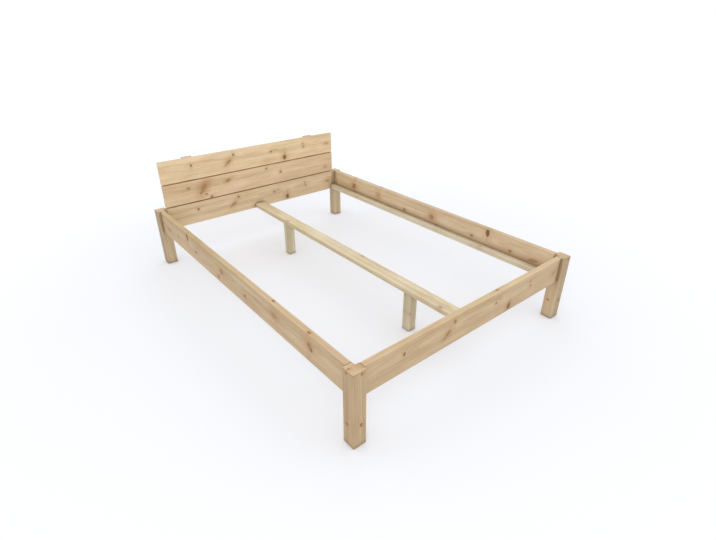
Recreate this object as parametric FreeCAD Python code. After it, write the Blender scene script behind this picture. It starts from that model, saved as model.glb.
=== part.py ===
import FreeCAD, Part
import math
import os

from FreeCAD import Vector

os.makedirs("parts", exist_ok=True)

# A double bed frame of planed pine. Four notched posts carry four rails on concealed hook plates,
# two planks on two uprights make the headboard, and ledgers and a centre beam wait for a slatted base.
# Millimetres. X runs across the bed, Y from the foot to the head and Z up.
# The origin is on the floor, under the middle of the whole bed.

# Frame
mattress_width = 1400.0
mattress_length = 2000.0
board_thickness = 28.0
board_height = 146.0
post_side = 65.0
rail_bottom = 234.0

# Headboard
plank_gap = 7.0
plank_end_gap = 3.5
upright_width = 68.0
upright_inset = 201.0

# Base for the slats
ledger_width = 40.0
ledger_height = 30.0
ledger_lift = 3.0
ledger_end_gap = 0.5
beam_width = 75.0
centre_leg_side = 52.0
centre_leg_spacing = 1200.0

# Planed edges and sawn ends
edge_radius = 3.0
end_chamfer = 1.0
foot_chamfer = 3.0

# Hook plates in the rails' ends and slotted plates in the posts
plate_length = 110.0
plate_width = 18.0
plate_thickness = 2.5
plate_corner_cut = 3.0
hook_thickness = 3.0
hook_height = 12.0
hook_drop = 12.0
hook_pitch = 40.0
lower_hook_below_middle = 30.0
hook_back_cut = 1.5
plate_screw_inset = 8.0

# Screws, pegs and their holes have few flat sides, because there are many of them
fastener_sides = 8

# Countersunk screws
plate_screw_length = 28.0
plate_screw_diameter = 4.0
board_screw_diameter = 5.0
headboard_screw_bite = 18.0
screw_head_ratio_share = 1.9
screw_head_slope_share = 0.5
screw_tip_share = 1.5
headboard_screw_pitch = 84.0

# Dowels behind the ledgers and at the beam's ends
dowel_diameter = 10.0
dowel_length = 45.0
dowel_depth_in_rail = 20.0
dowel_chamfer = 1.0
beam_dowel_spacing = 40.0
ledger_dowel_count = 5
ledger_dowel_end_inset = 150.0

# Studs and inserts between the centre legs and the beam
stud_diameter = 8.0
stud_depth_in_leg = 40.0
insert_diameter = 12.0
insert_length = 20.0

# Clearances
fit = 0.15
hook_clearance = 0.25
mortise_clearance = 1.0
hole_end_clearance = 1.0
overrun = 5.0
same_place = 0.0001

# Worked out from the sizes above
rail_inset = (post_side - board_thickness) / 2
frame_width = mattress_width + 2 * (board_thickness + rail_inset)
frame_length = mattress_length + 2 * (board_thickness + rail_inset)
upright_reach = board_thickness - rail_inset
overall_length = frame_length + max(upright_reach, 0.0)
post_height = rail_bottom + board_height
rail_middle = rail_bottom + board_height / 2
foot_y = -overall_length / 2
head_y = foot_y + frame_length
foot_inner_y = foot_y + rail_inset + board_thickness
head_inner_y = foot_inner_y + mattress_length
headboard_back_y = head_inner_y + board_thickness
middle_y = (foot_y + head_y) / 2
inner_x = mattress_width / 2
rail_centre_x = inner_x + board_thickness / 2
notch = post_side - rail_inset - board_thickness
base_bottom = rail_bottom + ledger_lift
base_top = base_bottom + ledger_height
ledger_middle = (base_bottom + base_top) / 2
plank_length = frame_width - 2 * (post_side + plank_end_gap)
upright_centre_x = plank_length / 2 - upright_inset
plank_bottoms = [post_height + plank_gap, post_height + board_height + 2 * plank_gap]
headboard_top = plank_bottoms[-1] + board_height
sides = {"left": -1, "right": 1}
ends = {"foot": -1, "head": 1}
X_AXIS = Vector(1, 0, 0)
Y_AXIS = Vector(0, 1, 0)
Z_AXIS = Vector(0, 0, 1)

parts = {}


def block(low, high):
    """Plain box between two opposite corners."""
    size = high - low
    return Part.makeBox(size.x, size.y, size.z, low)


def edges_along(solid, axis):
    """The solid's straight edges that run parallel to the axis."""
    found = []
    for edge in solid.Edges:
        span = edge.Vertexes[-1].Point - edge.Vertexes[0].Point
        if span.Length > same_place and span.cross(axis).Length < same_place:
            found.append(edge)
    return found


def edges_at(solid, axis, place):
    """The solid's edges in the plane across the axis at the place."""
    return [
        edge for edge in solid.Edges
        if all(abs(corner.Point.dot(axis) - place) < same_place for corner in edge.Vertexes)]


def planed(low, high, grain, start_chamfer=end_chamfer, stop_chamfer=end_chamfer):
    """Board with its two ends chamfered and its edges along the grain rounded."""
    solid = block(low, high)
    solid = solid.makeChamfer(start_chamfer, edges_at(solid, grain, low.dot(grain)))
    solid = solid.makeChamfer(stop_chamfer, edges_at(solid, grain, high.dot(grain)))
    return solid.makeFillet(edge_radius, edges_along(solid, grain))


def turned(profile):
    """Slim piece about X with flat sides, from points of distance along X and radius."""
    turns = [2 * math.pi * number / fastener_sides for number in range(fastener_sides + 1)]
    faces = []
    for (start, start_radius), (stop, stop_radius) in zip(profile, profile[1:]):
        for turn, next_turn in zip(turns, turns[1:]):
            corners = [
                Vector(along, radius * math.cos(angle), radius * math.sin(angle))
                for along, radius, angle in (
                    (start, start_radius, turn), (stop, stop_radius, turn),
                    (stop, stop_radius, next_turn), (start, start_radius, next_turn))]
            distinct = [
                corner for number, corner in enumerate(corners)
                if not corner.isEqual(corners[number - 1], same_place)]
            faces.append(Part.Face(Part.makePolygon(distinct + distinct[:1])))
    return Part.makeSolid(Part.makeShell(faces)).removeSplitter()


def peg(length, radius):
    """Slim piece of one thickness that runs along X."""
    return turned([(0, 0), (0, radius), (length, radius), (length, 0)])


def aimed(shape, spot, direction):
    """The shape with its origin at the spot and its X axis in the direction."""
    moved = shape.copy()
    moved.Placement = FreeCAD.Placement(spot, FreeCAD.Rotation(X_AXIS, direction))
    return moved


def screw(length, diameter):
    """Countersunk screw that runs along X from the top of its head."""
    shank = diameter / 2
    head = shank * screw_head_ratio_share
    head_depth = diameter * screw_head_slope_share
    tip_start = length - diameter * screw_tip_share
    return turned([(0, 0), (0, head), (head_depth, shank), (tip_start, shank), (length, 0)])


def screw_hole(length, diameter):
    """Hole for the countersunk screw, wider by the fit all round."""
    shank = diameter / 2 + fit
    head = diameter / 2 * screw_head_ratio_share + fit
    head_depth = diameter * screw_head_slope_share
    bottom = length + hole_end_clearance
    return turned([
        (-overrun, 0), (-overrun, head), (0, head), (head_depth, shank), (bottom, shank), (bottom, 0)])


def hung(shape, spot, direction):
    """The upright shape with its origin at the spot and its X axis turned level to the direction."""
    moved = shape.copy()
    level_turn = FreeCAD.Rotation(Z_AXIS, math.degrees(math.atan2(direction.y, direction.x)))
    moved.Placement = FreeCAD.Placement(spot, level_turn)
    return moved


def cut(name, *tools):
    """Takes the tools' shapes out of a part."""
    parts[name] = parts[name].cut(list(tools))


# Posts, notched above the ledgers' underside so that the mattress meets the rails all round
def post(side, end):
    """Corner post with its notch towards the middle of the bed."""
    outer = Vector(side * frame_width / 2, foot_y if end < 0 else head_y, 0)
    inner = outer - Vector(side * post_side, end * post_side, 0)
    low = Vector(min(outer.x, inner.x), min(outer.y, inner.y), 0)
    solid = planed(low, low + Vector(post_side, post_side, post_height), Z_AXIS, foot_chamfer)
    corner = inner + Vector(side * notch, end * notch, 0)
    clear = inner - Vector(side * overrun, end * overrun, 0)
    notch_low = Vector(min(corner.x, clear.x), min(corner.y, clear.y), base_bottom)
    notch_size = Vector(notch + overrun, notch + overrun, post_height - base_bottom + overrun)
    return solid.cut(block(notch_low, notch_low + notch_size))


for end_name, end in ends.items():
    for side_name, side in sides.items():
        parts[f"post_{end_name}_{side_name}"] = post(side, end)

# Rails, butted between the posts and centred on them
rail_half_length = frame_length / 2 - post_side
cross_half_length = frame_width / 2 - post_side
for side_name, side in sides.items():
    low = Vector(side * rail_centre_x - board_thickness / 2, middle_y - rail_half_length, rail_bottom)
    high = Vector(side * rail_centre_x + board_thickness / 2, middle_y + rail_half_length, post_height)
    parts[f"side_rail_{side_name}"] = planed(low, high, Y_AXIS)
for end_name, rail_y in (("foot", foot_inner_y - board_thickness), ("head", head_inner_y)):
    low = Vector(-cross_half_length, rail_y, rail_bottom)
    high = Vector(cross_half_length, rail_y + board_thickness, post_height)
    parts[f"{end_name}_rail"] = planed(low, high, X_AXIS)

# Headboard planks in the plane of the head rail, and the uprights behind all three boards
for plank_name, plank_bottom in zip(("lower", "upper"), plank_bottoms):
    low = Vector(-plank_length / 2, head_inner_y, plank_bottom)
    high = Vector(plank_length / 2, headboard_back_y, plank_bottom + board_height)
    parts[f"headboard_plank_{plank_name}"] = planed(low, high, X_AXIS)
for side_name, side in sides.items():
    upright_x = side * upright_centre_x
    low = Vector(upright_x - upright_width / 2, headboard_back_y, rail_bottom)
    high = Vector(upright_x + upright_width / 2, headboard_back_y + board_thickness, headboard_top)
    parts[f"headboard_upright_{side_name}"] = planed(low, high, Z_AXIS)

# Ledgers on the side rails, whose ends stand on the posts' shoulders, and the beam between them
base_low_y = foot_inner_y + ledger_end_gap
base_high_y = head_inner_y - ledger_end_gap
for side_name, side in sides.items():
    ledger_x = side * (inner_x - ledger_width / 2)
    low = Vector(ledger_x - ledger_width / 2, base_low_y, base_bottom)
    high = Vector(ledger_x + ledger_width / 2, base_high_y, base_top)
    parts[f"slat_ledger_{side_name}"] = planed(low, high, Y_AXIS)
parts["centre_beam"] = planed(
    Vector(-beam_width / 2, base_low_y, base_bottom), Vector(beam_width / 2, base_high_y, base_top), Y_AXIS)
for end_name, end in ends.items():
    leg_y = middle_y + end * centre_leg_spacing / 2
    low = Vector(-centre_leg_side / 2, leg_y - centre_leg_side / 2, 0)
    high = Vector(centre_leg_side / 2, leg_y + centre_leg_side / 2, base_bottom)
    parts[f"centre_leg_{end_name}"] = planed(low, high, Z_AXIS, foot_chamfer)

# One corner joint, with X pointing from the rail into the post and the origin in the rail's end face
hook_seats = [-lower_hook_below_middle, hook_pitch - lower_hook_below_middle]
hook_back = plate_thickness + hook_clearance
hook_reach = hook_back + hook_thickness
slot_height = hook_height + hook_drop + hook_clearance
plate_screw_places = [plate_screw_inset - plate_length / 2, plate_length / 2 - plate_screw_inset]


def plate_blank(start):
    """Steel plate with cut corners, from the start towards the post."""
    half = Vector(0, plate_width / 2, plate_length / 2)
    low = Vector(start, 0, 0)
    solid = block(low - half, low + half + Vector(plate_thickness, 0, 0))
    return solid.makeChamfer(plate_corner_cut, edges_along(solid, X_AXIS))


def plate_recess(start):
    """Routed seat for a plate, wider by the fit all round."""
    half = Vector(0, plate_width / 2 + fit, plate_length / 2 + fit)
    low = Vector(start, 0, 0)
    solid = block(low - half, low + half + Vector(plate_thickness + overrun, 0, 0))
    return solid.makeChamfer(plate_corner_cut, edges_along(solid, X_AXIS))


def hook(seat):
    """Hook that passes through the slotted plate and drops behind it, with its shank on the slot's sill."""
    tip = seat - hook_drop
    top = seat + hook_height
    outline = [
        (-plate_thickness, seat), (hook_back, seat), (hook_back, tip),
        (hook_reach, tip), (hook_reach, top), (-plate_thickness, top)]
    points = [Vector(along, -hook_thickness / 2, height) for along, height in outline]
    solid = Part.Face(Part.makePolygon(points + [points[0]])).extrude(Vector(0, hook_thickness, 0))
    back = Part.makeCompound(edges_at(solid, X_AXIS, hook_reach))
    return solid.makeChamfer(hook_back_cut, edges_along(back, Y_AXIS))


plate_holes = [
    aimed(screw_hole(plate_screw_length, plate_screw_diameter), Vector(0, 0, place), X_AXIS)
    for place in plate_screw_places]
rail_holes = [
    aimed(screw_hole(plate_screw_length, plate_screw_diameter), Vector(0, 0, place), -X_AXIS)
    for place in plate_screw_places]
hook_plate = plate_blank(-plate_thickness).fuse([hook(seat) for seat in hook_seats]).removeSplitter()
hook_plate = hook_plate.cut(rail_holes)
slot_side = Vector(0, hook_thickness / 2 + hook_clearance, 0)
slot_low = Vector(-overrun, 0, 0) - slot_side
slot_high = Vector(plate_thickness + overrun, 0, slot_height) + slot_side
slots = [block(slot_low + Z_AXIS * seat, slot_high + Z_AXIS * seat) for seat in hook_seats]
slot_plate = plate_blank(0).cut(slots + plate_holes)
rail_pocket = plate_recess(-plate_thickness).fuse(rail_holes)
mortise_side = Vector(0, hook_thickness / 2 + mortise_clearance, 0)
mortise_low = Vector(0, 0, hook_seats[0] - hook_drop - mortise_clearance)
mortise_high = Vector(hook_reach + mortise_clearance, 0, hook_seats[-1] + slot_height + mortise_clearance)
mortise = block(mortise_low - mortise_side, mortise_high + mortise_side)
post_pocket = plate_recess(-overrun).fuse([mortise] + plate_holes)

# Every rail hangs on a hook plate in its end and a slotted plate in the post
cross_rail_y = {"foot": foot_inner_y - board_thickness / 2, "head": head_inner_y + board_thickness / 2}
plate_screw = screw(plate_screw_length, plate_screw_diameter)
hook_plate_screws = []
slot_plate_screws = []
for end_name, end in ends.items():
    for side_name, side in sides.items():
        side_joint = Vector(side * rail_centre_x, middle_y + end * rail_half_length, rail_middle)
        cross_joint = Vector(side * cross_half_length, cross_rail_y[end_name], rail_middle)
        for rail_name, joint_name, spot, direction in (
                (f"side_rail_{side_name}", f"side_rail_{side_name}_{end_name}", side_joint, Y_AXIS * end),
                (f"{end_name}_rail", f"{end_name}_rail_{side_name}", cross_joint, X_AXIS * side)):
            cut(rail_name, hung(rail_pocket, spot, direction))
            cut(f"post_{end_name}_{side_name}", hung(post_pocket, spot, direction))
            parts[f"hook_plate_{joint_name}"] = hung(hook_plate, spot, direction)
            parts[f"slot_plate_{joint_name}"] = hung(slot_plate, spot, direction)
            for place in plate_screw_places:
                head_spot = spot + Z_AXIS * place
                hook_plate_screws.append(aimed(plate_screw, head_spot, -direction))
                slot_plate_screws.append(aimed(plate_screw, head_spot, direction))
parts["hook_plate_screws"] = Part.makeCompound(hook_plate_screws)
parts["slot_plate_screws"] = Part.makeCompound(slot_plate_screws)

# Screws through the uprights into the head rail and the planks
headboard_screw_length = board_thickness + headboard_screw_bite
headboard_screw = screw(headboard_screw_length, board_screw_diameter)
headboard_hole = screw_hole(headboard_screw_length, board_screw_diameter)
headboard_boards = {"head_rail": rail_bottom}
headboard_boards.update(zip(("headboard_plank_lower", "headboard_plank_upper"), plank_bottoms))
headboard_screws = []
for side_name, side in sides.items():
    for board_name, board_bottom in headboard_boards.items():
        for row in (-1, 1):
            screw_z = board_bottom + board_height / 2 + row * headboard_screw_pitch / 2
            spot = Vector(side * upright_centre_x, headboard_back_y + board_thickness, screw_z)
            hole = aimed(headboard_hole, spot, -Y_AXIS)
            cut(f"headboard_upright_{side_name}", hole)
            cut(board_name, hole)
            headboard_screws.append(aimed(headboard_screw, spot, -Y_AXIS))
parts["headboard_screws"] = Part.makeCompound(headboard_screws)


# Dowels that hold the ledgers on the side rails, and the beam's ends in the foot rail and the head rail
def dowel():
    """Round dowel with chamfered ends that runs along X."""
    radius = dowel_diameter / 2
    small = radius - dowel_chamfer
    far = dowel_length - dowel_chamfer
    return turned([
        (0, 0), (0, small), (dowel_chamfer, radius),
        (far, radius), (dowel_length, small), (dowel_length, 0)])


dowel_hole = peg(dowel_length + 2 * hole_end_clearance, dowel_diameter / 2 + fit)


def dowelled(face_spot, into_rail, rail_name, held_name):
    """Dowel across the face between a rail and the piece that it holds, with its hole cut in both."""
    rail_end = face_spot + into_rail * dowel_depth_in_rail
    hole = aimed(dowel_hole, rail_end + into_rail * hole_end_clearance, -into_rail)
    cut(rail_name, hole)
    cut(held_name, hole)
    return aimed(dowel(), rail_end, -into_rail)


ledger_dowel_pitch = (mattress_length - 2 * ledger_dowel_end_inset) / (ledger_dowel_count - 1)
ledger_dowels = []
for side_name, side in sides.items():
    for number in range(ledger_dowel_count):
        dowel_y = foot_inner_y + ledger_dowel_end_inset + number * ledger_dowel_pitch
        face_spot = Vector(side * inner_x, dowel_y, ledger_middle)
        ledger_dowels.append(
            dowelled(face_spot, X_AXIS * side, f"side_rail_{side_name}", f"slat_ledger_{side_name}"))
parts["ledger_dowels"] = Part.makeCompound(ledger_dowels)

beam_dowels = []
for end_name, end in ends.items():
    for side in sides.values():
        rail_face_y = foot_inner_y if end < 0 else head_inner_y
        face_spot = Vector(side * beam_dowel_spacing / 2, rail_face_y, ledger_middle)
        beam_dowels.append(dowelled(face_spot, Y_AXIS * end, f"{end_name}_rail", "centre_beam"))
parts["beam_dowels"] = Part.makeCompound(beam_dowels)

# A stud in each centre leg, screwed into an insert in the beam's underside
stud_radius = stud_diameter / 2
stud_length = stud_depth_in_leg + insert_length
leg_hole_depth = stud_depth_in_leg + hole_end_clearance
insert_hole_depth = insert_length + hole_end_clearance
leg_studs = []
beam_inserts = []
for end_name, end in ends.items():
    seat = Vector(0, middle_y + end * centre_leg_spacing / 2, base_bottom)
    leg_hole_bottom = seat - Z_AXIS * leg_hole_depth
    cut(f"centre_leg_{end_name}", aimed(peg(leg_hole_depth, stud_radius + fit), leg_hole_bottom, Z_AXIS))
    cut("centre_beam", aimed(peg(insert_hole_depth, insert_diameter / 2 + fit), seat, Z_AXIS))
    leg_studs.append(aimed(peg(stud_length, stud_radius), seat - Z_AXIS * stud_depth_in_leg, Z_AXIS))
    sleeve = peg(insert_length, insert_diameter / 2).cut(peg(insert_length, stud_radius + fit))
    beam_inserts.append(aimed(sleeve, seat, Z_AXIS))
parts["leg_studs"] = Part.makeCompound(leg_studs)
parts["beam_inserts"] = Part.makeCompound(beam_inserts)

for name, shape in parts.items():
    shape.exportStep(f"parts/{name}.step")
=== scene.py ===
"""Dresses a packed bed frame in planed knotty pine and stands it in a white studio."""

import logging
import math
from dataclasses import dataclass, field
from enum import Enum
from typing import Any, Callable, Iterable, Iterator, Optional, Union

import bpy
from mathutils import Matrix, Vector


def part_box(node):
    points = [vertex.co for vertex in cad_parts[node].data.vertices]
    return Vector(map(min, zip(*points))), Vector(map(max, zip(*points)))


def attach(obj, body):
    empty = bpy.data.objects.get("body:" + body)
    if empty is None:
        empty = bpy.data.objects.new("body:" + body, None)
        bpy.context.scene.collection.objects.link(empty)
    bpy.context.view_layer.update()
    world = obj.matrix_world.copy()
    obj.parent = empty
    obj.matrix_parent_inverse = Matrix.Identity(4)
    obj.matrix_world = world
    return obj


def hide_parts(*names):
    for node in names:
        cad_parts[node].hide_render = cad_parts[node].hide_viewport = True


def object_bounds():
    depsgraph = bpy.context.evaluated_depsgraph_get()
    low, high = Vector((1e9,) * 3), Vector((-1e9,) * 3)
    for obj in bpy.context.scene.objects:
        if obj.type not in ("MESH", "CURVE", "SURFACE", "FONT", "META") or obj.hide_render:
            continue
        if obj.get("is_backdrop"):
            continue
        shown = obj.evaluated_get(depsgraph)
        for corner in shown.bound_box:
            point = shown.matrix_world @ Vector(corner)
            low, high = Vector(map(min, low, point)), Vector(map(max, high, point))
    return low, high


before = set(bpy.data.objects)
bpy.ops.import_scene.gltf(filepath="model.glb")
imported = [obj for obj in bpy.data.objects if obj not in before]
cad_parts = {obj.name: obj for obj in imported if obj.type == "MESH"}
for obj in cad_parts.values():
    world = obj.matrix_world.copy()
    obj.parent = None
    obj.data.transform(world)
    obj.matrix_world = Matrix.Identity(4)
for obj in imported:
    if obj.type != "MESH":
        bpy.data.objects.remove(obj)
CAD_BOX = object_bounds()
BODY = "root"

log = logging.getLogger("bed")

Colour = tuple[float, float, float]
Span = tuple[float, float]
Number = Union["Shade", float]


class Axis(Enum):
    """One of the frame's three directions, with its place in a vector."""

    X = 0
    Y = 1
    Z = 2


class Slot(Enum):
    """A material slot name of the record, which nothing in the script uses."""

    STEEL = "zinc_steel"


class Joint(Enum):
    """Which of a board's two narrow long faces look into a joint and take its painted bounce light."""

    NONE = ()
    LOW = (-1.0,)
    HIGH = (1.0,)
    BOTH = (-1.0, 1.0)


class Shade:
    """A changing value in a node tree: an expression on it adds Math nodes."""

    def __init__(self, sheet: "NodeSheet", socket: bpy.types.NodeSocket) -> None:
        """Wraps a socket.

        Args:
            sheet: The node tree that the socket belongs to.
            socket: The output socket that carries the value.
        """
        self.sheet = sheet
        self.socket = socket

    def __add__(self, other: Number) -> "Shade":
        """Sum."""
        return self.sheet.math("ADD", self, other)

    __radd__ = __add__

    def __sub__(self, other: Number) -> "Shade":
        """Difference."""
        return self.sheet.math("SUBTRACT", self, other)

    def __rsub__(self, other: Number) -> "Shade":
        """Difference from a number."""
        return self.sheet.math("SUBTRACT", other, self)

    def __mul__(self, other: Number) -> "Shade":
        """Product."""
        return self.sheet.math("MULTIPLY", self, other)

    __rmul__ = __mul__

    def __truediv__(self, other: Number) -> "Shade":
        """Quotient."""
        return self.sheet.math("DIVIDE", self, other)

    def __pow__(self, other: Number) -> "Shade":
        """Power."""
        return self.sheet.math("POWER", self, other)

    def __abs__(self) -> "Shade":
        """Size without its sign."""
        return self.sheet.math("ABSOLUTE", self)

    def fraction(self) -> "Shade":
        """What is left after the whole number."""
        return self.sheet.math("FRACT", self)

    def larger(self, other: Number) -> "Shade":
        """The larger of two values."""
        return self.sheet.math("MAXIMUM", self, other)

    def swell(self, reach: float) -> "Shade":
        """A round hill that is 1 where the value is 0 and fades within the reach.

        Args:
            reach: The value at which the hill has sunk to about a third.

        Returns:
            The height of the hill.
        """
        share = self / reach
        return self.sheet.math("EXPONENT", share * share * -1.0)

    def rise(self, low: float, high: float) -> "Shade":
        """A smooth step from 0 to 1.

        Args:
            low: The value where the step starts.
            high: The value where it is done.

        Returns:
            The step.
        """
        ends = {1: low, 2: high, 3: 0.0, 4: 1.0}
        return self.sheet.add("ShaderNodeMapRange", {"interpolation_type": "SMOOTHSTEP"}, {0: self, **ends})


class NodeSheet:
    """A node tree that is written as expressions."""

    COLOUR_SOCKETS = (6, 7)
    COLOUR_OUTPUT = 2
    NOISE_MIDDLE = 0.5
    NOISE_ROUGHNESS = 0.55
    SEED_SHARES = (1.0, 0.7, 0.4)

    def __init__(self, tree: bpy.types.NodeTree) -> None:
        """Starts with an empty tree.

        Args:
            tree: The node tree of a material or a world.
        """
        self.tree = tree
        self.tree.nodes.clear()

    def add(self, kind: str, settings: Optional[dict[str, Any]] = None,
            inputs: Optional[dict[Any, Any]] = None, output: Union[int, str] = 0) -> Shade:
        """Adds one node of any kind.

        Args:
            kind: The node's type.
            settings: Its own settings, which are set first.
            inputs: Values or shades for its input sockets, by name or number.
            output: The output socket to hand back.

        Returns:
            The node's output.
        """
        node = self.tree.nodes.new(kind)
        for name, value in (settings or {}).items():
            setattr(node, name, value)
        for key, value in (inputs or {}).items():
            if isinstance(value, Shade):
                self.tree.links.new(value.socket, node.inputs[key])
            else:
                node.inputs[key].default_value = value
        return Shade(self, node.outputs[output]) if node.outputs else Shade(self, None)

    def math(self, operation: str, *values: Number) -> Shade:
        """Adds a Math node on its values."""
        return self.add("ShaderNodeMath", {"operation": operation}, dict(enumerate(values)))

    def blend(self, first: Any, second: Any, share: Number) -> Shade:
        """Mixes two colours.

        Args:
            first: The colour where the share is 0.
            second: The colour where the share is 1.
            share: How much of the second colour shows.

        Returns:
            The mixed colour.
        """
        colours = {
            socket: colour if isinstance(colour, Shade) else (*colour, 1.0)
            for socket, colour in zip(self.COLOUR_SOCKETS, (first, second))}
        settings = {"data_type": "RGBA", "clamp_factor": True}
        return self.add("ShaderNodeMix", settings, {0: share, **colours}, self.COLOUR_OUTPUT)

    def tinted(self, colour: Shade, lights: Iterable[Shade]) -> Shade:
        """A colour whose red, green and blue are made lighter or darker one by one."""
        strength = self.add("ShaderNodeCombineXYZ", None, dict(enumerate(lights)))
        return self.add("ShaderNodeVectorMath", {"operation": "MULTIPLY"}, {0: colour, 1: strength})

    def parts(self, vector: Shade) -> list[Shade]:
        """The three components of a vector."""
        node = self.add("ShaderNodeSeparateXYZ", None, {0: vector}).socket.node
        return [Shade(self, socket) for socket in node.outputs]

    def noise(self, vector: Shade, scale: Iterable[float], seed: float, detail: float = 2.0) -> Shade:
        """Noise about zero that is stretched differently along each axis.

        Args:
            vector: The place in metres.
            scale: Waves per metre along X, Y and Z.
            seed: An offset that picks another piece of the noise.
            detail: How many finer layers are added.

        Returns:
            The noise, mostly between -0.5 and 0.5.
        """
        offset = tuple(seed * share for share in self.SEED_SHARES)
        stretched = self.add(
            "ShaderNodeMapping", {"vector_type": "POINT"},
            {"Vector": vector, "Location": offset, "Scale": tuple(scale)})
        layers = {"Scale": 1.0, "Detail": detail, "Roughness": self.NOISE_ROUGHNESS}
        return self.add("ShaderNodeTexNoise", None, {"Vector": stretched, **layers}) - self.NOISE_MIDDLE

    def seen(self) -> Shade:
        """Tells the rays that show a surface from those that only light others.

        Returns:
            1 for rays from the camera, and for mirrored or refracted ones, or else 0.
        """
        node = self.add("ShaderNodeLightPath").socket.node
        names = ("Is Camera Ray", "Is Glossy Ray", "Is Transmission Ray")
        camera, glossy, through = (Shade(self, node.outputs[name]) for name in names)
        return camera.larger(glossy).larger(through)


class MaterialSheet(NodeSheet):
    """The node tree of one new material with a Principled shader at its end."""

    def __init__(self, name: str) -> None:
        """Makes the material.

        Args:
            name: The material's name.
        """
        self.material = bpy.data.materials.new(name)
        self.material.use_nodes = True
        super().__init__(self.material.node_tree)

    def place(self) -> Shade:
        """Where the shaded point lies, in metres of the shared frame."""
        return self.add("ShaderNodeTexCoord", output="Object")

    def finish(self, **sockets: Any) -> bpy.types.Material:
        """Ends the tree in a Principled shader.

        Args:
            **sockets: Values or shades for the shader's sockets, with _ for a space.

        Returns:
            The finished material.
        """
        inputs = {name.replace("_", " "): value for name, value in sockets.items()}
        shader = self.add("ShaderNodeBsdfPrincipled", None, inputs)
        self.add("ShaderNodeOutputMaterial", None, {"Surface": shader})
        return self.material


@dataclass(frozen=True)
class Knot:
    """A branch that runs through a board, in metres from the board's middle.

    Attributes:
        along: Its place along the grain.
        across: Its place across the face.
        length: Half its size along the grain.
        height: Half its size across the face.
        turn: How far it is turned in the face, in degrees.
        depth: How dark it is, where 1 is the full colour of a knot.
        blush: How much it reddens the wood round it.
        through: The way it runs, where that isn't straight through the board's face.
    """

    along: float
    across: float
    length: float = 0.007
    height: float = 0.007
    turn: float = 0.0
    depth: float = 0.7
    blush: float = 0.5
    through: Optional[Axis] = None


@dataclass(frozen=True)
class Wave:
    """A noise in the wood.

    Attributes:
        number: Which of a board's noises it is.
        along: Waves per metre along the grain.
        across: Waves per metre across it.
        detail: How many finer layers are added.
    """

    number: int
    along: float
    across: float
    detail: float = 2.0


@dataclass(frozen=True)
class PineFinish:
    """How one kind of planed pine looks.

    Attributes:
        early: The pale wood between the rings.
        late: The dark wood of the rings.
        warm: The pale wood in warm zones.
        knot: A knot's own colour.
        blush: The wood round a knot.
        bark: The rim of a knot, and the rings in it.
        corner: The colour of painted shade in inner corners and along butted ends.
        joint: The colour painted on narrow faces in a joint, for the shade there warmed by light bounced off
            the wood.
        ring_pitch: From one ring to the next, in metres.
        ring_strength: How clearly the rings show.
        warm_swing: How sharply warm zones stand out.
        band_share: How much long bands change the light.
        patch_share: How much short patches change it.
        band_tint: How much of that reaches red, green and blue.
        streak_share: How much fine streaks change the light.
        fleck_share: How much darker short flecks are.
        end_tone_and_painted_light: How much lighter open ends are: a darker end-grain tone by default, and
            painted light on the post tops.
        seam_painted_shade_share: How much painted shade lies along butted ends.
        arris_painted_highlight: How much lighter arrises are, as a painted highlight.
        joint_bounce_light_share: How much of the painted joint colour shows.
        corner_reach: How far the painted corner shade reaches, in metres.
        corner_painted_shade_share: How much painted shade lies in corners.
        roughness: The surface's roughness.
        relief: The depth of the grain, in metres.
    """

    early: Colour
    late: Colour
    warm: Colour
    knot: Colour = (0.27, 0.138, 0.042)
    blush: Colour = (0.55, 0.30, 0.145)
    bark: Colour = (0.13, 0.068, 0.022)
    corner: Colour = (0.20, 0.125, 0.06)
    joint: Colour = (0.68, 0.42, 0.17)
    ring_pitch: float = 0.0042
    ring_strength: float = 0.50
    warm_swing: float = 2.2
    band_share: float = 0.62
    patch_share: float = 0.45
    band_tint: Colour = (0.78, 1.0, 1.35)
    streak_share: float = 0.34
    fleck_share: float = 0.16
    end_tone_and_painted_light: float = -0.06
    seam_painted_shade_share: float = 0.80
    arris_painted_highlight: float = 0.14
    joint_bounce_light_share: float = 0.36
    corner_reach: float = 0.035
    corner_painted_shade_share: float = 0.80
    roughness: float = 0.58
    relief: float = 0.0003


@dataclass(frozen=True)
class Board:
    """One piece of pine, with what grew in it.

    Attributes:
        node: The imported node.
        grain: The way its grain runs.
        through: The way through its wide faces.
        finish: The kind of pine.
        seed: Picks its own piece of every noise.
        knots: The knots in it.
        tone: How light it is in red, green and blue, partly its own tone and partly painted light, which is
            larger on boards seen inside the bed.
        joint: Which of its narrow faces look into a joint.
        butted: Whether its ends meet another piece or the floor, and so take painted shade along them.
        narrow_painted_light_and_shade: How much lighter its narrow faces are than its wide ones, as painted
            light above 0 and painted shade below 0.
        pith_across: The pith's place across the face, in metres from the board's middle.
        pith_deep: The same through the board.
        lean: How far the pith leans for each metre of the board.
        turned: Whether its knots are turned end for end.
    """

    node: str
    grain: Axis
    through: Axis
    finish: PineFinish
    seed: float
    knots: tuple[Knot, ...] = ()
    tone: Colour = (1.0, 1.0, 1.0)
    joint: Joint = Joint.NONE
    butted: bool = False
    narrow_painted_light_and_shade: float = 0.0
    pith_across: float = 0.02
    pith_deep: float = -0.09
    lean: float = 0.008
    turned: bool = False

    def width(self) -> Axis:
        """The third direction, across the board's face."""
        return next(axis for axis in Axis if axis not in (self.grain, self.through))

    def toned(self, colour: Colour) -> Colour:
        """A colour of the finish in this board's tone, which holds painted light on some boards."""
        return tuple(value * share for value, share in zip(colour, self.tone))

    def vector(self, along: float, across: float, deep: float) -> Vector:
        """Puts three values into the frame's order.

        Args:
            along: The value along the grain.
            across: The value across the face.
            deep: The value through the board.

        Returns:
            The vector.
        """
        values = Vector((0.0, 0.0, 0.0))
        values[self.grain.value] = along
        values[self.width().value] = across
        values[self.through.value] = deep
        return values


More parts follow.
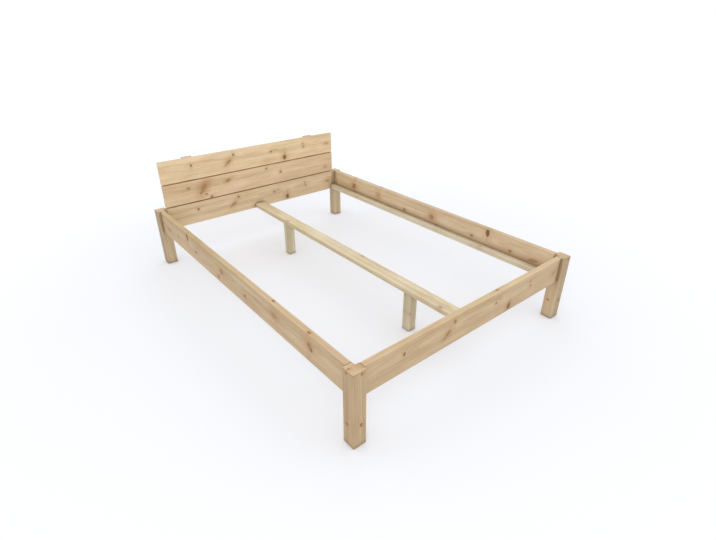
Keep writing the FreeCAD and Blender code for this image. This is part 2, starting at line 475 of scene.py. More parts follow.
class PineMaterial:
    """Solid pine: growth rings about a pith, knots that bend them and streaks, with a painted highlight on
    eased edges and painted shade in corners.
    """

    # The noises, and how far three of them move the rings, in metres, or a knot's outline, in knot sizes
    DRIFT = Wave(1, 1.1, 6.0)
    DRIFT_SWING = 0.030
    WAVER = Wave(2, 9.0, 90.0)
    WAVER_SWING = 0.0016
    OUTLINE = Wave(3, 60.0, 60.0, 1.0)
    OUTLINE_SWING = 0.5
    STREAK = Wave(4, 7.0, 420.0)
    BAND = Wave(5, 0.9, 30.0)
    PATCH = Wave(6, 5.0, 18.0)
    ZONE = Wave(7, 2.2, 16.0)
    ZONE_MIDDLE = 0.5
    FLECK = Wave(8, 45.0, 1300.0, 0.0)
    FLECK_STEP = (0.16, 0.30)
    SEED_STEP = 7.3

    # Late wood within one ring, and how much of the pith's lean goes into the board's depth
    LATE_WOOD = (0.30, 0.88)
    LATE_STOP = (0.90, 1.0)
    DEEP_LEAN_SHARE = 0.6

    # A knot in knot sizes, and half the length of the branch, in metres
    KNOT_EDGE = (0.78, 1.12)
    KNOT_RIM = (0.55, 0.92)
    KNOT_RINGS = 3.2
    KNOT_RING = (0.45, 0.95)
    KNOT_RING_SHARE = 0.5
    KNOT_PUSH = 1.3
    PUSH_REACH = 1.7
    BLUSH_REACH = 2.3
    BARK_SHARE = 0.6
    BRANCH_REACH = 0.5

    # Steps in metres from the board's outside
    ARRIS = (0.0005, 0.0045)
    NARROW_FACE = (0.0004, 0.0020)
    OPEN_END = (0.0016, 0.0006)
    JOINT_FACE = (0.0024, 0.0006)
    SEAM = (0.0050, 0.0015)
    SEAM_STOP = (0.0009, 0.0003)

    # Painted shade in corners, as a share of the sky that is hidden
    CORNER = (0.04, 0.62)
    CORNER_SAMPLES = 8

    # The planed surface
    LATE_RELIEF = 0.4
    STREAK_RELIEF = 0.6
    KNOT_RELIEF = 0.5
    BUMP = 0.5
    LATE_GLOSS = 0.08
    STREAK_DULLNESS = 0.1
    SHEEN = 0.3

    def __init__(self, board: Board) -> None:
        """Measures the board.

        Args:
            board: The board to dress.
        """
        self.board = board
        self.finish = board.finish
        low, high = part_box(board.node)
        self.middle = (low + high) / 2
        self.half = (high - low) / 2
        self.sheet = MaterialSheet(f"pine_{board.node}")
        self.local = self.sheet.add(
            "ShaderNodeVectorMath", {"operation": "SUBTRACT"}, {0: self.sheet.place(), 1: self.middle})
        split = self.sheet.parts(self.local)
        self.along = split[board.grain.value]
        self.across = split[board.width().value]
        self.deep = split[board.through.value]

    def noise(self, wave: Wave) -> Shade:
        """Adds one of the board's noises, stretched along the grain.

        Args:
            wave: The noise.

        Returns:
            The noise about zero.
        """
        scale = self.board.vector(wave.along, wave.across, wave.across)
        seed = self.board.seed + self.SEED_STEP * wave.number
        return self.sheet.noise(self.local, scale, seed, wave.detail)

    def knot_distance(self, knot: Knot, wobble: Shade) -> Shade:
        """Distance from a knot's middle, where 1 is the knot's edge.

        Args:
            knot: The knot.
            wobble: Unevenness of its outline.

        Returns:
            The distance in knot sizes.
        """
        board = self.board
        way = -1.0 if board.turned else 1.0
        through = knot.through or board.through
        first = board.through if through is board.grain else board.grain
        width = next(axis for axis in Axis if axis not in (first, through))
        spot, size, turn = Vector(), Vector(), Vector()
        spot[first.value] = knot.along * way
        spot[width.value] = knot.across
        size[first.value] = knot.length
        size[width.value] = knot.height
        size[through.value] = self.BRANCH_REACH
        even = (through.value - first.value) % 3 == 2
        turn[through.value] = math.radians(knot.turn) * way * (1.0 if even else -1.0)
        inside = self.sheet.add(
            "ShaderNodeMapping", {"vector_type": "TEXTURE"},
            {"Vector": self.local, "Location": spot, "Rotation": turn, "Scale": size})
        distance = self.sheet.add("ShaderNodeVectorMath", {"operation": "LENGTH"}, {0: inside}, "Value")
        return distance + wobble

    def grow(self) -> tuple[Shade, Number, Number, Number]:
        """Grows the knots, and bends the rings round them.

        Returns:
            How far the rings are pushed out, and the shares of the knots' cores, rims and blushes.
        """
        wobble = self.noise(self.OUTLINE) * self.OUTLINE_SWING
        push: Number = self.noise(self.DRIFT) * self.DRIFT_SWING + self.noise(self.WAVER) * self.WAVER_SWING
        core: Number = 0.0
        rim: Number = 0.0
        blush: Number = 0.0
        for knot in self.board.knots:
            distance = self.knot_distance(knot, wobble)
            inner = 1.0 - distance.rise(*self.KNOT_EDGE)
            rings = (distance * self.KNOT_RINGS).fraction().rise(*self.KNOT_RING)
            edge = distance.rise(*self.KNOT_RIM).larger(rings * self.KNOT_RING_SHARE)
            push = push + distance.swell(self.PUSH_REACH) * (min(knot.length, knot.height) * self.KNOT_PUSH)
            core = (inner * knot.depth).larger(core)
            rim = (inner * edge * knot.depth).larger(rim)
            blush = (distance.swell(self.BLUSH_REACH) * knot.blush).larger(blush)
        return push, core, rim, blush

    def rings(self, push: Shade) -> Shade:
        """The dark late wood of the growth rings about the pith.

        Args:
            push: How far the rings are pushed out.

        Returns:
            The share of late wood.
        """
        board = self.board
        beside = self.across - board.pith_across - self.along * board.lean
        below = self.deep - board.pith_deep - self.along * (board.lean * self.DEEP_LEAN_SHARE)
        radius = (beside * beside + below * below) ** 0.5 + push
        part = (radius / self.finish.ring_pitch).fraction()
        return part.rise(*self.LATE_WOOD) * (1.0 - part.rise(*self.LATE_STOP))

    def near_end(self, depths: Span) -> Shade:
        """A step from 0 to 1 between two depths below the board's nearer end."""
        length = self.half[self.board.grain.value]
        return abs(self.along).rise(*(length - depth for depth in depths))

    def painted_edge_and_end_light(self) -> Shade:
        """Paints a highlight on arrises and light and shade on narrow faces, and changes the tone of open
        ends, with painted light on post tops.

        Returns:
            How light the wood is, where 1 is as on a wide face.
        """
        board, finish = self.board, self.finish
        side_gap = self.half[board.width().value] - abs(self.across)
        face_gap = self.half[board.through.value] - abs(self.deep)
        # Painted highlight along the arrises
        arris = 1.0 - side_gap.larger(face_gap).rise(*self.ARRIS)
        # Painted light and shade on the narrow faces
        narrow = 1.0 - side_gap.rise(*self.NARROW_FACE)
        edges = arris * finish.arris_painted_highlight + narrow * board.narrow_painted_light_and_shade
        return edges + self.near_end(self.OPEN_END) * finish.end_tone_and_painted_light + 1.0

    def shaded(self) -> Shade:
        """Finds where shade is painted into the colour.

        Returns:
            How much painted shade lies in inner corners and along butted ends.
        """
        finish = self.finish
        open_share = self.sheet.add(
            "ShaderNodeAmbientOcclusion", {"samples": self.CORNER_SAMPLES},
            {"Distance": finish.corner_reach}, "AO")
        shade = (1.0 - open_share).rise(*self.CORNER) * finish.corner_painted_shade_share
        if self.board.butted:
            seam = self.near_end(self.SEAM) * (1.0 - self.near_end(self.SEAM_STOP))
            shade = (seam * finish.seam_painted_shade_share).larger(shade)
        return shade

    def jointed(self, wood: Shade) -> Shade:
        """Warms the narrow faces that look into a joint, where the light has come off wood before.

        Args:
            wood: The colour of the wood elsewhere.

        Returns:
            The colour with the joints in it.
        """
        reach = self.half[self.board.width().value]
        for side in self.board.joint.value:
            inside = (self.across * side).rise(*(reach - depth for depth in self.JOINT_FACE))
            # Painted light: the joint colour stands for shade warmed by light bounced off the wood
            wood = self.sheet.blend(wood, self.finish.joint, inside * self.finish.joint_bounce_light_share)
        return wood

    def coloured(self, late: Shade, core: Number, rim: Number, blush: Number) -> Shade:
        """Lays the wood's colours over each other.

        Args:
            late: The share of late wood.
            core: The share of the knots' cores.
            rim: The share of their rims.
            blush: The share of the reddened wood round them.

        Returns:
            The colour before any change of light.
        """
        sheet, board, finish = self.sheet, self.board, self.finish
        warmth = self.noise(self.ZONE) * finish.warm_swing + self.ZONE_MIDDLE
        wood = sheet.blend(board.toned(finish.early), board.toned(finish.warm), warmth)
        wood = sheet.blend(wood, board.toned(finish.late), late * finish.ring_strength)
        wood = sheet.blend(wood, finish.blush, blush)
        wood = sheet.blend(wood, finish.knot, core)
        return sheet.blend(wood, finish.bark, rim * self.BARK_SHARE)

    def lights(self, streak: Shade) -> list[Shade]:
        """Works out how light the wood is from place to place, with the painted light and shade of edges and
        ends.

        Args:
            streak: The fine streaks along the grain.

        Returns:
            The light for red, green and blue.
        """
        finish = self.finish
        broad = self.noise(self.BAND) * finish.band_share + self.noise(self.PATCH) * finish.patch_share
        fleck = self.noise(self.FLECK).rise(*self.FLECK_STEP)
        fine = streak * finish.streak_share - fleck * finish.fleck_share + 1.0
        painted_edge_and_end_light = self.painted_edge_and_end_light()
        return [(broad * share + fine) * painted_edge_and_end_light for share in finish.band_tint]

    def build(self) -> bpy.types.Material:
        """Writes the whole material.

        Returns:
            The board's material.
        """
        sheet, finish = self.sheet, self.finish
        push, core, rim, blush = self.grow()
        late = self.rings(push)
        streak = self.noise(self.STREAK)
        wood = sheet.tinted(self.coloured(late, core, rim, blush), self.lights(streak))
        # Painted shade: the corner colour is laid into inner corners and along butted ends
        wood = self.jointed(sheet.blend(wood, finish.corner, self.shaded()))
        relief = late * self.LATE_RELIEF + streak * self.STREAK_RELIEF + core * self.KNOT_RELIEF
        bump = sheet.add(
            "ShaderNodeBump", None, {"Strength": self.BUMP, "Distance": finish.relief, "Height": relief})
        roughness = finish.roughness - late * self.LATE_GLOSS + streak * self.STREAK_DULLNESS
        return sheet.finish(Base_Color=wood, Roughness=roughness, Normal=bump, Specular_IOR_Level=self.SHEEN)


@dataclass(frozen=True)
class SteelFinish:
    """Zinc-plated steel with a fine, uneven sheen."""

    colour: Colour = (0.58, 0.58, 0.56)
    dull: Colour = (0.46, 0.46, 0.45)
    roughness: float = 0.34
    cloud_waves: float = 220.0
    cloud_seed: float = 3.0
    cloud_middle: float = 0.5
    cloud_dullness: float = 0.25
    grit_waves: float = 2600.0
    grit_seed: float = 8.0
    grit_detail: float = 1.0
    grit_dullness: float = 0.1
    bump: float = 0.2
    relief: float = 0.0001

    def build(self, name: str) -> bpy.types.Material:
        """Writes the material.

        Args:
            name: The material's name.

        Returns:
            The steel.
        """
        sheet = MaterialSheet(name)
        place = sheet.place()
        cloud = sheet.noise(place, (self.cloud_waves,) * 3, self.cloud_seed)
        grit = sheet.noise(place, (self.grit_waves,) * 3, self.grit_seed, self.grit_detail)
        tone = sheet.blend(self.colour, self.dull, cloud + self.cloud_middle)
        bump = sheet.add(
            "ShaderNodeBump", None, {"Strength": self.bump, "Distance": self.relief, "Height": grit})
        roughness = self.roughness + cloud * self.cloud_dullness + grit * self.grit_dullness
        return sheet.finish(Base_Color=tone, Metallic=1.0, Roughness=roughness, Normal=bump)


FRAME_PINE = PineFinish(
    early=(0.643, 0.484, 0.285), late=(0.53, 0.375, 0.195), warm=(0.655, 0.472, 0.308), corner_reach=0.055)
# The posts' lighter open ends are painted light, seen on their tops
POST_PINE = PineFinish(
    early=(0.643, 0.484, 0.285), late=(0.51, 0.36, 0.185), warm=(0.655, 0.472, 0.308),
    ring_strength=0.65, end_tone_and_painted_light=0.14, seam_painted_shade_share=0.62, corner_painted_shade_share=0.68)
PLANK_PINE = PineFinish(
    early=(0.70, 0.53, 0.325), late=(0.59, 0.415, 0.215), warm=(0.72, 0.505, 0.335),
    corner_painted_shade_share=0.5, joint_bounce_light_share=0.75, arris_painted_highlight=0.04)
BASE_PINE = PineFinish(
    early=(0.70, 0.592, 0.385), late=(0.60, 0.475, 0.265), warm=(0.715, 0.572, 0.405), corner_painted_shade_share=0.55)
BEECH = PineFinish(
    early=(0.60, 0.43, 0.29), late=(0.54, 0.37, 0.24), warm=(0.62, 0.42, 0.29),
    ring_pitch=0.0016, ring_strength=0.35)

# Knots of the upper plank, the head rail and the foot rail, which are alike
CROSS_KNOTS = (
    Knot(-0.471, 0.021, 0.007, 0.009, 0.0, 0.85, 0.35),
    Knot(-0.166, 0.043, 0.008, 0.009, 0.0, 0.62, 0.45),
    Knot(-0.205, 0.000, 0.020, 0.010, 35.0, 0.42, 0.6),
    Knot(-0.226, -0.016, 0.012, 0.007, 35.0, 0.25, 0.5),
    Knot(0.130, 0.016, 0.008, 0.007, 0.0, 0.7, 0.35),
    Knot(0.160, 0.024, 0.014, 0.004, 0.0, 0.15, 0.35),
    Knot(0.241, -0.044, 0.013, 0.017, 0.0, 0.9, 0.6),
    Knot(0.246, -0.018, 0.006, 0.014, 0.0, 0.25, 0.4),
    Knot(0.408, 0.031, 0.007, 0.007, 0.0, 0.40, 0.35),
    Knot(0.413, 0.008, 0.007, 0.007, 0.0, 0.50, 0.35),
    Knot(0.628, 0.000, 0.016, 0.009, 0.0, 0.25, 0.5),
)

# A large knot with smaller ones about it marks the lower plank
LOWER_PLANK_KNOTS = (
    Knot(-0.513, 0.027, 0.008, 0.007, 0.0, 0.6, 0.45),
    Knot(-0.410, 0.006, 0.034, 0.018, 55.0, 0.22, 0.95),
    Knot(-0.420, -0.004, 0.022, 0.007, 62.0, 0.35, 0.7),
    Knot(-0.435, -0.025, 0.008, 0.006, 0.0, 0.65, 0.5),
    Knot(-0.397, -0.038, 0.009, 0.006, 0.0, 0.7, 0.5),
    Knot(-0.229, 0.025, 0.019, 0.008, 20.0, 0.5, 0.55),
    Knot(0.080, 0.052, 0.008, 0.007, 0.0, 0.7, 0.4),
    Knot(0.197, 0.006, 0.010, 0.009, 0.0, 0.65, 0.5),
    Knot(0.609, -0.032, 0.011, 0.006, 0.0, 0.35, 0.45),
    Knot(-0.362, -0.064, 0.011, 0.007, 0.0, 0.8, 0.45),
)

# The last two knots of a side rail, and the last of the foot rail, come out at the top
SIDE_RAIL_KNOTS = (
    Knot(0.545, 0.045, 0.013, 0.024, 0.0, 1.0, 0.45),
    Knot(0.432, -0.010, 0.012, 0.008, 0.0, 0.65, 0.45),
    Knot(0.090, 0.006, 0.020, 0.015, 0.0, 0.45, 0.75),
    Knot(0.138, -0.041, 0.014, 0.009, 0.0, 0.6, 0.45),
    Knot(-0.168, -0.020, 0.011, 0.009, 0.0, 0.75, 0.4),
    Knot(-0.452, 0.010, 0.016, 0.016, 0.0, 0.15, 0.65),
    Knot(-0.738, 0.010, 0.017, 0.017, 0.0, 0.4, 0.8),
    Knot(-0.748, -0.002, 0.010, 0.009, 0.0, 0.85, 0.5),
    Knot(-0.732, 0.019, 0.010, 0.007, 0.0, 0.65, 0.5),
    Knot(0.713, -0.012, 0.010, 0.008, 0.0, 0.6, 0.45),
    Knot(0.865, -0.015, 0.030, 0.009, 10.0, 0.4, 0.55),
    Knot(-0.430, 0.004, 0.010, 0.007, 0.0, 0.75, 0.4, Axis.Z),
    Knot(-0.728, -0.007, 0.011, 0.006, 0.0, 0.75, 0.5, Axis.Z),
)

FOOT_RAIL_KNOTS = CROSS_KNOTS + (
    Knot(0.147, 0.004, 0.009, 0.006, 0.0, 0.5, 0.5, Axis.Z),
)

# Posts have knots in both directions, and a foot post has one in its ends
TOP_POST_KNOTS = (
    Knot(0.177, 0.010, 0.006, 0.006, 0.0, 0.6, 0.4, Axis.X),
    Knot(0.178, 0.009, 0.007, 0.006, 0.0, 0.75, 0.4, Axis.Y),
)

FOOT_POST_KNOTS = TOP_POST_KNOTS + (
    Knot(-0.078, 0.008, 0.008, 0.007, 0.0, 0.7, 0.45, Axis.X),
    Knot(-0.076, 0.006, 0.009, 0.007, 0.0, 0.8, 0.45, Axis.Y),
    Knot(0.009, -0.021, 0.005, 0.006, 0.0, 0.65, 0.3, Axis.Z),
)

BEAM_KNOTS = (
    Knot(0.560, -0.029, 0.010, 0.006, 0.0, 0.5, 0.35),
    Knot(-0.174, 0.030, 0.012, 0.006, 0.0, 0.5, 0.35),
    Knot(-0.831, -0.031, 0.010, 0.006, 0.0, 0.5, 0.35),
)

LEDGER_KNOTS = (
    Knot(-0.525, -0.010, 0.010, 0.006, 0.0, 0.35, 0.4),
)

LEG_KNOTS = (
    Knot(-0.003, -0.020, 0.007, 0.005, 0.0, 0.35, 0.35),
)


@dataclass(frozen=True)
class CrossHeadScrew:
    """A countersunk wood screw that points down, with the top of its head at the origin."""

    length: float = 0.045
    head_radius: float = 0.0044
    rim: float = 0.0003
    head_depth: float = 0.0024
    shank_radius: float = 0.0021
    shank_end: float = 0.018
    core_radius: float = 0.0016
    thread_radius: float = 0.0023
    thread_pitch: float = 0.0024
    tip_length: float = 0.006
    recess_width: float = 0.0011
    recess_reach: float = 0.0025
    recess_depth: float = 0.0018
    groove_share: float = 0.5
    flank_share: float = 0.7
    crest_share: float = 0.8
    sides: int = 20
    smooth_angle: float = 35.0
    level_normal: float = 0.9
    upright_normal: float = 0.1

    def rings(self) -> Iterator[tuple[float, float]]:
        """Runs down the turned outline below the head's rim.

        Yields:
            The depth and the radius of each ring.
        """
        yield self.head_depth, self.shank_radius
        yield self.shank_end, self.shank_radius
        depth = self.shank_end
        yield depth, self.core_radius
        while depth + self.thread_pitch < self.length - self.tip_length:
            yield depth + self.groove_share * self.thread_pitch, self.core_radius
            yield depth + self.flank_share * self.thread_pitch, self.thread_radius
            yield depth + self.crest_share * self.thread_pitch, self.thread_radius
            depth += self.thread_pitch
            yield depth, self.core_radius

    def build(self, name: str) -> bpy.types.Object:
        """Models one screw.

        Args:
            name: The object's name.

        Returns:
            The screw.
        """
        bpy.ops.object.select_all(action="DESELECT")
        bpy.ops.mesh.primitive_cylinder_add(
            vertices=self.sides, radius=self.head_radius, depth=self.rim,
            location=(0.0, 0.0, -self.rim / 2))
        screw = bpy.context.active_object
        screw.name = name
        bpy.ops.object.transform_apply()
        select_faces(screw, lambda face: face.normal.z < -self.level_normal)
        depth, radius = self.rim, self.head_radius
        for next_depth, next_radius in self.rings():
            step = (0.0, 0.0, depth - next_depth)
            bpy.ops.mesh.extrude_region_move(TRANSFORM_OT_translate={"value": step})
            share = next_radius / radius
            bpy.ops.transform.resize(value=(share, share, 1.0), center_override=(0.0, 0.0, -next_depth))
            depth, radius = next_depth, next_radius
        step = (0.0, 0.0, depth - self.length)
        bpy.ops.mesh.extrude_region_move(TRANSFORM_OT_translate={"value": step})
        bpy.ops.mesh.merge(type="CENTER")
        bpy.ops.object.mode_set(mode="OBJECT")
        self.cut_recess(screw)
        bpy.ops.object.shade_smooth_by_angle(angle=math.radians(self.smooth_angle))
        return screw

    def cut_recess(self, screw: bpy.types.Object) -> None:
        """Cuts the cross into the head.

        Args:
            screw: The screw to cut.
        """
        bpy.ops.object.select_all(action="DESELECT")
        bpy.ops.mesh.primitive_cube_add(size=self.recess_width)
        cross = bpy.context.active_object
        select_faces(cross, lambda face: abs(face.normal.z) < self.upright_normal)
        bpy.ops.mesh.extrude_faces_move(
            TRANSFORM_OT_shrink_fatten={"value": self.recess_reach - self.recess_width / 2})
        bpy.ops.mesh.select_all(action="SELECT")
        bpy.ops.transform.resize(
            value=(1.0, 1.0, 2 * self.recess_depth / self.recess_width), center_override=(0.0, 0.0, 0.0))
        bpy.ops.object.mode_set(mode="OBJECT")
        bpy.context.view_layer.objects.active = screw
        modifier = screw.modifiers.new("cross_recess", "BOOLEAN")
        modifier.object = cross
        modifier.solver = "EXACT"
        bpy.ops.object.modifier_apply(modifier=modifier.name)
        bpy.data.objects.remove(cross)
        screw.select_set(True)


def select_faces(piece: bpy.types.Object, wanted: Callable[[bpy.types.MeshPolygon], bool]) -> None:
    """Goes into edit mode with some faces selected.

    Args:
        piece: The active object.
        wanted: Says whether a face is to be selected.
    """
    bpy.ops.object.mode_set(mode="EDIT")
    bpy.ops.mesh.select_mode(type="FACE")
    bpy.ops.mesh.select_all(action="DESELECT")
    bpy.ops.object.mode_set(mode="OBJECT")
    for face in piece.data.polygons:
        face.select = wanted(face)
    bpy.ops.object.mode_set(mode="EDIT")


@dataclass
class SubAssembly:
    """A group of the bed's wooden pieces."""

    boards: tuple[Board, ...]

    def build(self) -> None:
        """Models the group's new pieces, where it has any."""

    def dress(self) -> None:
        """Gives every board its own pine."""
        for board in self.boards:
            dress_node(board.node, PineMaterial(board).build())


@dataclass
class BedFrame(SubAssembly):
    """Four notched posts with the side rails, the foot rail and the head rail between them."""

    boards: tuple[Board, ...] = (
        Board(
            "post_foot_left", Axis.Z, Axis.Y, POST_PINE, 1.0, FOOT_POST_KNOTS,
            tone=(0.93, 0.915, 0.895), butted=True),
        Board(
            "post_foot_right", Axis.Z, Axis.Y, POST_PINE, 2.0, FOOT_POST_KNOTS,
            tone=(0.91, 0.925, 0.965), butted=True, narrow_painted_light_and_shade=0.08),
        Board(
            "post_head_left", Axis.Z, Axis.Y, POST_PINE, 3.0, TOP_POST_KNOTS,
            tone=(0.975, 1.0, 1.06), butted=True, narrow_painted_light_and_shade=-0.22),
        Board(
            "post_head_right", Axis.Z, Axis.Y, POST_PINE, 4.0, TOP_POST_KNOTS,
            tone=(1.01, 1.06, 1.14), butted=True, narrow_painted_light_and_shade=-0.12),
        Board(
            "side_rail_left", Axis.Y, Axis.X, FRAME_PINE, 5.0, SIDE_RAIL_KNOTS,
            tone=(0.985, 0.99, 0.98), butted=True, narrow_painted_light_and_shade=0.07),
        # The right rail's larger tone is partly painted light on its inner face
        Board(
            "side_rail_right", Axis.Y, Axis.X, FRAME_PINE, 6.0, SIDE_RAIL_KNOTS,
            tone=(1.18, 1.23, 1.33), butted=True, narrow_painted_light_and_shade=-0.14, turned=True),
        Board(
            "foot_rail", Axis.X, Axis.Y, FRAME_PINE, 7.0, FOOT_RAIL_KNOTS,
            tone=(1.075, 1.08, 1.085), butted=True),
        # The head rail's larger tone is partly painted light on its inner face
        Board(
            "head_rail", Axis.X, Axis.Y, FRAME_PINE, 8.0, CROSS_KNOTS,
            tone=(1.21, 1.25, 1.325), joint=Joint.HIGH, butted=True),
    )


@dataclass
class Headboard(SubAssembly):
    """Two planks over the head rail, two uprights behind them and the screws that hold all together."""

    boards: tuple[Board, ...] = (
        # The planks' larger tones are partly painted light
        Board(
            "headboard_plank_lower", Axis.X, Axis.Y, PLANK_PINE, 9.0, LOWER_PLANK_KNOTS,
            tone=(1.145, 1.165, 1.19), joint=Joint.BOTH, narrow_painted_light_and_shade=-0.2),
        Board(
            "headboard_plank_upper", Axis.X, Axis.Y, PLANK_PINE, 10.0, CROSS_KNOTS,
            tone=(1.27, 1.33, 1.36), joint=Joint.LOW, narrow_painted_light_and_shade=-0.2),
        Board("headboard_upright_left", Axis.Z, Axis.Y, PLANK_PINE, 11.0),
        Board("headboard_upright_right", Axis.Z, Axis.Y, PLANK_PINE, 12.0),
    )
    uprights: tuple[str, ...] = ("headboard_upright_left", "headboard_upright_right")
    held: tuple[str, ...] = ("head_rail", "headboard_plank_lower", "headboard_plank_upper")
    screw: CrossHeadScrew = field(default_factory=CrossHeadScrew)
    screw_pitch: float = 0.084
    row_shares: tuple[float, ...] = (-0.5, 0.5)
    sunk: float = 0.0002
    steel: SteelFinish = field(default_factory=SteelFinish)

    def screw_spots(self) -> Iterator[Vector]:
        """Goes through the screws on the backs of the uprights.

        Yields:
            Where the top of each head lies.
        """
        for upright in self.uprights:
            low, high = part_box(upright)
            for board in self.held:
                board_low, board_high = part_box(board)
                for row_share in self.row_shares:
                    height = (board_low.z + board_high.z) / 2 + row_share * self.screw_pitch
                    yield Vector(((low.x + high.x) / 2, high.y - self.sunk, height))

    def build(self) -> None:
        """Models one screw and sets its copies into the uprights as one piece."""
        first = self.screw.build("headboard_screws_cross_head")
        copies = [first]
        spots = list(self.screw_spots())
        for _ in spots[1:]:
            copy = first.copy()
            copy.data = first.data.copy()
            bpy.context.scene.collection.objects.link(copy)
            copies.append(copy)
        bpy.ops.object.select_all(action="DESELECT")
        for copy, spot in zip(copies, spots):
            copy.location = spot
            copy.rotation_euler = (-math.pi / 2, 0.0, 0.0)
            copy.select_set(True)
        bpy.context.view_layer.objects.active = first
        bpy.ops.object.transform_apply(location=True, rotation=True, scale=True)
        bpy.ops.object.join()
        first.data.materials.append(self.steel.build("zinc_plated_screws"))
        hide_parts("headboard_screws")
        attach(first, BODY)
        log.info("%s stands for headboard_screws, %d of them", first.name, len(copies))


@dataclass
class SlatBase(SubAssembly):
    """Two ledgers and a centre beam on two legs, ready for slats."""

    boards: tuple[Board, ...] = (
        Board(
            "slat_ledger_left", Axis.Y, Axis.Z, BASE_PINE, 13.0,
            tone=(1.10, 1.18, 1.33), butted=True),
        Board(
            "slat_ledger_right", Axis.Y, Axis.Z, BASE_PINE, 14.0, LEDGER_KNOTS,
            tone=(1.10, 1.18, 1.33), butted=True),
        Board(
            "centre_beam", Axis.Y, Axis.Z, BASE_PINE, 15.0, BEAM_KNOTS,
            tone=(1.09, 1.125, 1.145), butted=True),
        Board(
            "centre_leg_foot", Axis.Z, Axis.Y, BASE_PINE, 16.0, LEG_KNOTS,
            tone=(0.97, 1.02, 1.08), butted=True),
        Board(
            "centre_leg_head", Axis.Z, Axis.Y, BASE_PINE, 17.0,
            tone=(0.99, 1.07, 1.14), butted=True),
    )


@dataclass
class Fittings:
    """The concealed hook plates, slotted plates, screws, studs and inserts, and the dowels."""

    steel: SteelFinish = field(default_factory=SteelFinish)
    plates: tuple[str, ...] = ("hook_plate", "slot_plate")
    fasteners: tuple[str, ...] = ("studs", "inserts", "screws")
    dowel: PineFinish = BEECH
    dowel_seed: float = 91.0

    def dress(self) -> None:
        """Plates the steel nodes and gives the dowels a pale close-grained wood."""
        steel = self.steel.build("zinc_plated_steel")
        for name in sorted(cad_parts):
            if name.startswith(self.plates) or name.endswith(self.fasteners):
                dress_node(name, steel)
            elif name.endswith("dowels"):
                grain = Axis.X if name.startswith("ledger") else Axis.Y
                board = Board(name, grain, Axis.Z, self.dowel, self.dowel_seed)
                dress_node(name, PineMaterial(board).build())


def dress_node(name: str, material: bpy.types.Material) -> None:
    """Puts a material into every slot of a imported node.

    Args:
        name: The node.
        material: Its new material.
    """
    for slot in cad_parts[name].material_slots:
        slot.material = material
    log.info("%s wears %s", name, material.name)


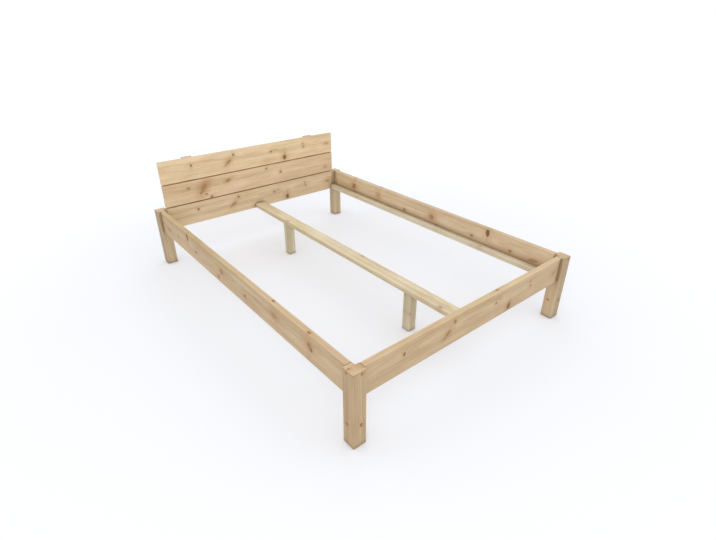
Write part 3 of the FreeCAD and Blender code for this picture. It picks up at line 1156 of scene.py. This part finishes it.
@dataclass
class Studio:
    """A pale floor without end, even light from all round, a fill lamp by the camera, and the camera.

    Attributes:
        eye: The camera's place.
        heading: Where it looks, in degrees from +Y towards +X.
        dip: How far it looks down, in degrees.
        lens: Its focal length in millimetres.
        floor_size: The floor's length and width.
        floor_near_painted_shade: The floor's colour by the bed, as the camera sees it, darker and bluer than
            far away as painted shade round the bed.
        floor_far: The same far from the bed.
        floor_bounce: The floor's colour for the light that it throws back on the bed.
        glow_near_painted_shade: A glow by the bed that only the camera sees, weaker than far away so that it
            paints shade round the bed.
        glow_far: The same far from the bed.
        near_reach: Where the far colours start.
        far_reach: Where they are reached.
        sky: The strength of the light from all round.
        fill: The power of the lamp by the camera.
        fill_radius: The lamp's radius.
        fill_lift: How high it hangs over the camera.
    """

    eye: Vector
    heading: float
    dip: float
    lens: float
    floor_size: float = 300.0
    floor_near_painted_shade: Colour = (0.948, 0.966, 1.0)
    floor_far: Colour = (1.0, 1.0, 1.0)
    floor_bounce: Colour = (0.66, 0.66, 0.66)
    glow_near_painted_shade: Colour = (0.045, 0.052, 0.072)
    glow_far: Colour = (0.12, 0.12, 0.12)
    near_reach: float = 1.5
    far_reach: float = 3.6
    sky: float = 0.94
    fill: float = 3.0
    fill_radius: float = 0.35
    fill_lift: float = 0.25

    def build(self) -> None:
        """Sets up everything round the bed."""
        self.build_floor()
        self.build_sky()
        self.build_fill()
        self.build_camera()
        log.info("studio is set")

    def build_floor(self) -> None:
        """Lays the floor, which glows a little for the camera so that it fades into white, with painted
        shade round the bed.
        """
        bpy.ops.object.select_all(action="DESELECT")
        bpy.ops.mesh.primitive_plane_add(size=self.floor_size)
        floor = bpy.context.active_object
        floor.name = "studio_floor"
        material = bpy.data.materials.new("pale_floor")
        material.use_nodes = True
        sheet = NodeSheet(material.node_tree)
        seen = sheet.seen()
        place = sheet.add("ShaderNodeTexCoord", output="Object")
        away = sheet.add("ShaderNodeVectorMath", {"operation": "LENGTH"}, {0: place}, "Value")
        far = away.rise(self.near_reach, self.far_reach)
        # Painted shade: the floor is darker and bluer near the bed
        shown = sheet.blend(self.floor_near_painted_shade, self.floor_far, far)
        paint = sheet.blend(self.floor_bounce, shown, seen)
        matt = sheet.add("ShaderNodeBsdfDiffuse", None, {"Color": paint})
        glow = sheet.blend((0.0, 0.0, 0.0), sheet.blend(self.glow_near_painted_shade, self.glow_far, far), seen)
        glow = sheet.add("ShaderNodeEmission", None, {"Color": glow})
        both = sheet.add("ShaderNodeAddShader", None, {0: matt, 1: glow})
        sheet.add("ShaderNodeOutputMaterial", None, {"Surface": both})
        floor.data.materials.append(material)
        floor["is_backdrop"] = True

    def build_sky(self) -> None:
        """Lights the bed evenly from all round, with white behind it."""
        world = bpy.data.worlds.new("studio_sky")
        world.use_nodes = True
        bpy.context.scene.world = world
        sheet = NodeSheet(world.node_tree)
        seen = sheet.seen()
        strength = seen + (1.0 - seen) * self.sky
        sky = sheet.add("ShaderNodeBackground", None, {"Color": (1.0, 1.0, 1.0, 1.0), "Strength": strength})
        sheet.add("ShaderNodeOutputWorld", None, {"Surface": sky})

    def build_fill(self) -> None:
        """Hangs a large round lamp over the camera that lights near and far alike."""
        bpy.ops.object.light_add(type="POINT", location=self.eye + Vector((0.0, 0.0, self.fill_lift)))
        lamp = bpy.context.active_object
        lamp.name = "camera_fill"
        lamp.data.energy = self.fill
        lamp.data.shadow_soft_size = self.fill_radius
        lamp.data.use_nodes = True
        sheet = NodeSheet(lamp.data.node_tree)
        even = sheet.add("ShaderNodeLightFalloff", None, {"Strength": 1.0}, "Constant")
        light = sheet.add("ShaderNodeEmission", None, {"Strength": even})
        sheet.add("ShaderNodeOutputLight", None, {"Surface": light})

    def build_camera(self) -> None:
        """Sets the camera at the photograph's place."""
        data = bpy.data.cameras.new("photo_camera")
        camera = bpy.data.objects.new("photo_camera", data)
        bpy.context.scene.collection.objects.link(camera)
        turn, dip = math.radians(self.heading), math.radians(self.dip)
        look = Vector((math.sin(turn) * math.cos(dip), math.cos(turn) * math.cos(dip), -math.sin(dip)))
        camera.location = self.eye
        camera.rotation_euler = look.to_track_quat("-Z", "Y").to_euler()
        data.lens = self.lens
        bpy.context.scene.camera = camera
        bpy.context.scene.view_settings.view_transform = "Standard"


def write_sizes() -> None:
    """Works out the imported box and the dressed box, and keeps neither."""
    boxes = {"cad": CAD_BOX, "visual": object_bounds()}
    {name: [list(corner) for corner in box] for name, box in boxes.items()}


def main() -> None:
    """Dresses the bed and sets the scene."""
    logging.basicConfig(level=logging.INFO, format="%(name)s: %(message)s")
    for group in (BedFrame(), Headboard(), SlatBase()):
        group.build()
        group.dress()
    Fittings().dress()
    Studio(eye=Vector((-1.5437, -2.0507, 1.5139)), heading=39.358, dip=28.734, lens=23.513).build()
    write_sizes()


if __name__ == "__main__":
    main()
